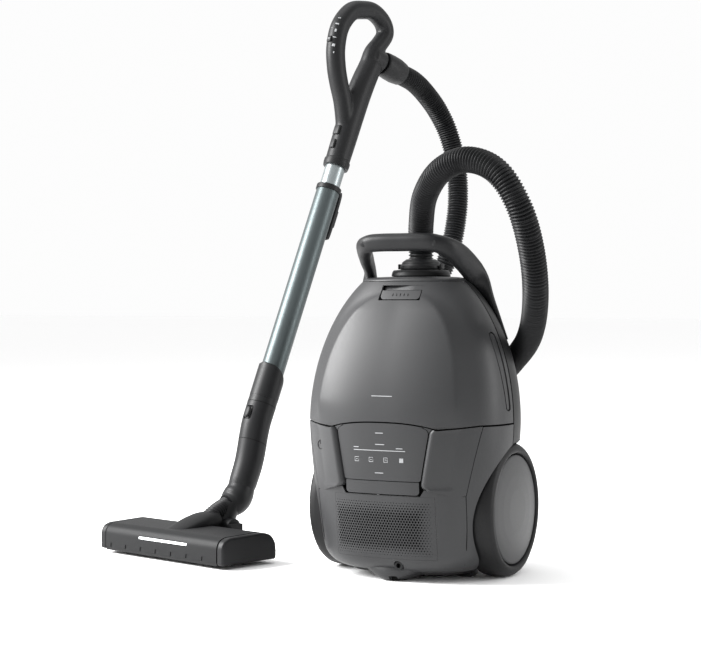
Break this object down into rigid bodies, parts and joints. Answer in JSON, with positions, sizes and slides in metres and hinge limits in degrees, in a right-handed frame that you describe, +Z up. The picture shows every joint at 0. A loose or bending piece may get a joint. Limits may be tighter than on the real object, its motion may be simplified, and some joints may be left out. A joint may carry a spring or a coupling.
{
  "type": "canister vacuum cleaner",
  "caption": "Egg-shaped canister vacuum cleaner parked on its tail, with large side wheels, a corrugated hose, a telescopic metal wand with a loop handle and a powered floor head.",
  "frame": {"origin": "on the floor, in the middle of the parking foot's flat underside, below the hose socket's axis", "axes": "+Z up as parked, the canister's lid faces -Y, and its wheel axle is along X"},
  "size_m": [0.7508, 0.7124, 0.9042],
  "materials": {
    "body_grey": "satin",
    "dark_grey": "satin",
    "black_plastic": "satin",
    "tyre_black": "matte",
    "cap_grey": "satin",
    "hose_black": "satin",
    "tube_metal": "satin",
    "steel": "brushed",
    "light_lens": "gloss",
    "filter_white": "matte",
    "bag_fabric": "matte",
    "seal_rubber": "matte",
    "board_green": "matte",
    "bristle_dark": "matte"
  },
  "bodies": {
    "canister": {"lower_casing": "body_grey", "rear_shell": "dark_grey", "nose_cover": "dark_grey", "compartment_floor": "dark_grey", "lid_seal": "seal_rubber", "control_panel": "body_grey", "carry_handle": "black_plastic", "parking_foot": "dark_grey", "cord_outlet_bush": "black_plastic", "hose_socket": "dark_grey", "hose": "hose_black", "dust_bag": "bag_fabric", "bag_holder": "black_plastic", "motor_housing": "steel", "rewind_spring": "steel", "circuit_board": "board_green", "exhaust_filter": "filter_white", "wheel_axle": "steel", "lower_connector": "black_plastic", "outer_tube": "tube_metal", "tube_collar": "black_plastic", "neck_elbow": "black_plastic"},
    "lid": {"bag_lid": "body_grey"},
    "lid_latch": {"lid_latch": "body_grey"},
    "power_pedal": {"power_pedal": "body_grey"},
    "rewind_pedal": {"rewind_pedal": "body_grey"},
    "door_latch": {"door_latch": "body_grey"},
    "exhaust_door": {"exhaust_door": "body_grey"},
    "hose_connector": {"hose_connector": "black_plastic"},
    "connector_latch_left": {"connector_latch_left": "black_plastic"},
    "connector_latch_right": {"connector_latch_right": "black_plastic"},
    "motor_fan": {"motor_fan": "steel"},
    "cord_reel": {"cord_reel": "black_plastic"},
    "wheel_left": {"wheel_left": "cap_grey", "tyre_left": "tyre_black"},
    "wheel_right": {"wheel_right": "cap_grey", "tyre_right": "tyre_black"},
    "castor_fork": {"castor_fork": "black_plastic"},
    "castor_wheel": {"castor_wheel": "tyre_black"},
    "connector_button": {"connector_button": "black_plastic"},
    "slide_lock": {"slide_lock": "black_plastic"},
    "handle": {"inner_tube": "tube_metal", "handle_body": "black_plastic"},
    "suction_slider": {"suction_slider": "dark_grey"},
    "release_button": {"release_button": "black_plastic"},
    "key_1": {"key_1": "dark_grey"},
    "key_2": {"key_2": "dark_grey"},
    "hose_cuff": {"hose_cuff": "black_plastic"},
    "neck": {"neck_duct": "black_plastic"},
    "floor_head": {"head_cover": "black_plastic", "sole_plate": "dark_grey", "end_cap_left": "black_plastic", "end_cap_right": "black_plastic", "brush_motor": "steel", "drive_belt": "seal_rubber", "light_lens": "light_lens"},
    "brush_roll": {"brush_roll": "bristle_dark"},
    "roller_left": {"roller_left": "tyre_black"},
    "roller_right": {"roller_right": "tyre_black"},
    "wand_pedal": {"wand_pedal": "dark_grey"}
  },
  "joints": [
    {"name": "lid_open", "type": "hinge", "parent": "canister", "child": "lid", "pos_m": [0, -0.1365, 0.2222], "axis": [1, 0, 0], "range_deg": [0, 75]},
    {"name": "lid_latch_press", "type": "slide", "parent": "lid", "child": "lid_latch", "axis": [0, 1, 0], "range_m": [0, 0.0025], "stiffness_N_per_m": 800},
    {"name": "power_press", "type": "slide", "parent": "canister", "child": "power_pedal", "axis": [0, 1, 0], "range_m": [0, 0.004], "stiffness_N_per_m": 2000},
    {"name": "rewind_press", "type": "slide", "parent": "canister", "child": "rewind_pedal", "axis": [0, 1, 0], "range_m": [0, 0.004], "stiffness_N_per_m": 2000},
    {"name": "door_latch_press", "type": "slide", "parent": "canister", "child": "door_latch", "axis": [0, 1, 0], "range_m": [0, 0.003], "stiffness_N_per_m": 800},
    {"name": "exhaust_door_open", "type": "hinge", "parent": "canister", "child": "exhaust_door", "pos_m": [0, -0.1245, 0.0335], "axis": [1, 0, 0], "range_deg": [0, 50]},
    {"name": "hose_swivel", "type": "hinge", "parent": "canister", "child": "hose_connector", "pos_m": [0, 0, 0.44], "axis": [0, 0, 1], "continuous": true},
    {"name": "connector_latch_left_press", "type": "slide", "parent": "hose_connector", "child": "connector_latch_left", "axis": [1, 0, 0], "range_m": [0, 0.0008], "stiffness_N_per_m": 800},
    {"name": "connector_latch_right_press", "type": "slide", "parent": "hose_connector", "child": "connector_latch_right", "axis": [-1, 0, 0], "range_m": [0, 0.0008], "stiffness_N_per_m": 800},
    {"name": "motor_spin", "type": "hinge", "parent": "canister", "child": "motor_fan", "pos_m": [0, -0.046, 0.1], "axis": [0, 0, 1], "continuous": true},
    {"name": "reel_turn", "type": "hinge", "parent": "canister", "child": "cord_reel", "pos_m": [0, 0.05, 0.11], "axis": [0, 1, 0], "continuous": true},
    {"name": "wheel_left_roll", "type": "hinge", "parent": "canister", "child": "wheel_left", "pos_m": [0, 0.012, 0.096], "axis": [1, 0, 0], "continuous": true},
    {"name": "wheel_right_roll", "type": "hinge", "parent": "canister", "child": "wheel_right", "pos_m": [0, 0.012, 0.096], "axis": [1, 0, 0], "continuous": true},
    {"name": "castor_swivel", "type": "hinge", "parent": "canister", "child": "castor_fork", "pos_m": [0, 0.0775, 0.385], "axis": [0, 1, 0], "continuous": true},
    {"name": "castor_roll", "type": "hinge", "parent": "castor_fork", "child": "castor_wheel", "pos_m": [0, 0.094, 0.372], "axis": [1, 0, 0], "continuous": true},
    {"name": "connector_button_press", "type": "slide", "parent": "canister", "child": "connector_button", "axis": [0.2526, 0.8809, -0.4003], "range_m": [0, 0.002], "stiffness_N_per_m": 800},
    {"name": "slide_lock_press", "type": "slide", "parent": "canister", "child": "slide_lock", "axis": [-0.1104, -0.3848, -0.9164], "range_m": [0, 0.008], "stiffness_N_per_m": 400},
    {"name": "telescope_extend", "type": "slide", "parent": "canister", "child": "handle", "axis": [0.1104, 0.3848, 0.9164], "range_m": [0, 0.25]},
    {"name": "suction_slide", "type": "slide", "parent": "handle", "child": "suction_slider", "axis": [0.1104, 0.3848, 0.9164], "range_m": [-0.006, 0.006]},
    {"name": "release_press", "type": "slide", "parent": "handle", "child": "release_button", "axis": [0.2526, 0.8809, -0.4003], "range_m": [0, 0.0012], "stiffness_N_per_m": 800},
    {"name": "key_1_press", "type": "slide", "parent": "handle", "child": "key_1", "axis": [0.2526, 0.8809, -0.4003], "range_m": [0, 0.0008], "stiffness_N_per_m": 400},
    {"name": "key_2_press", "type": "slide", "parent": "handle", "child": "key_2", "axis": [0.2526, 0.8809, -0.4003], "range_m": [0, 0.0008], "stiffness_N_per_m": 400},
    {"name": "cuff_swivel", "type": "hinge", "parent": "handle", "child": "hose_cuff", "pos_m": [-0.25398, 0.38103, 0.80534], "axis": [0.264, 0.9207, -0.2874], "continuous": true},
    {"name": "neck_swivel", "type": "hinge", "parent": "canister", "child": "neck", "pos_m": [-0.35702, 0.02169, 0.04], "axis": [0.1273, 0.4439, 0.887], "range_deg": [-60, 60]},
    {"name": "head_tilt", "type": "hinge", "parent": "neck", "child": "floor_head", "pos_m": [-0.35702, 0.02169, 0.04], "axis": [0.9613, -0.2756, 0], "range_deg": [0, 55]},
    {"name": "brush_spin", "type": "hinge", "parent": "floor_head", "child": "brush_roll", "pos_m": [-0.38527, -0.07684, 0.024], "axis": [0.9613, -0.2756, 0], "continuous": true},
    {"name": "roller_left_roll", "type": "hinge", "parent": "floor_head", "child": "roller_left", "pos_m": [-0.45785, 0.01471, 0.008], "axis": [0.9613, -0.2756, 0], "continuous": true},
    {"name": "roller_right_roll", "type": "hinge", "parent": "floor_head", "child": "roller_right", "pos_m": [-0.27521, -0.03766, 0.008], "axis": [0.9613, -0.2756, 0], "continuous": true},
    {"name": "wand_pedal_press", "type": "slide", "parent": "floor_head", "child": "wand_pedal", "axis": [0, 0, -1], "range_m": [0, 0.004], "stiffness_N_per_m": 1000}
  ]
}
